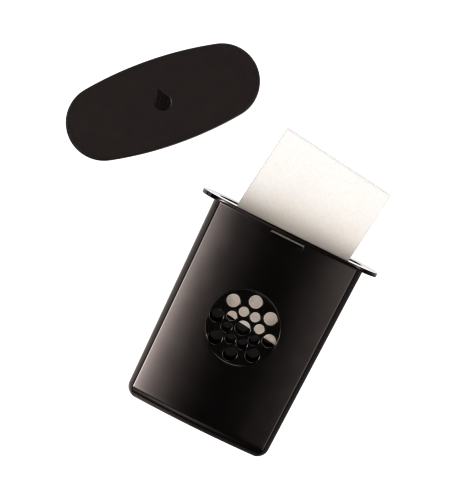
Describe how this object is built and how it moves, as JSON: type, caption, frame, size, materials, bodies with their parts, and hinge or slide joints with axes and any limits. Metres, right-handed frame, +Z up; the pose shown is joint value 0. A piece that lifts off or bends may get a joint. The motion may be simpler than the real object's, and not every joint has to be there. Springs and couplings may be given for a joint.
{
  "type": "guitar soundhole humidifier",
  "caption": "Tapered glossy black pocket case with an oval flange and round vents, a white absorbent pad drawn half out, and a loose matte oval lid.",
  "frame": {"origin": "middle of the whole layout's footprint, on the table it lies on", "axes": "+Z up from the table; +Y along the case towards its mouth; +X across the case, along the flange, so that the lid lies on the -X side"},
  "size_m": [0.1246, 0.1286, 0.0278],
  "materials": {
    "case": "glossy moulded",
    "pad": "fibrous absorbent sheet",
    "lid": "matte moulded"
  },
  "bodies": {
    "case": {"case": "case"},
    "pad": {"absorbent_pad": "pad"},
    "lid": {"lid": "lid"}
  },
  "joints": [
    {"name": "pad_slide", "type": "slide", "parent": "case", "child": "pad", "axis": [0, 0.9974, 0.0725], "range_m": [-0.034, 0.042]},
    {"name": "lid_lift", "type": "slide", "parent": "case", "child": "lid", "axis": [0, 0, 1], "range_m": [0, 0.05]}
  ]
}
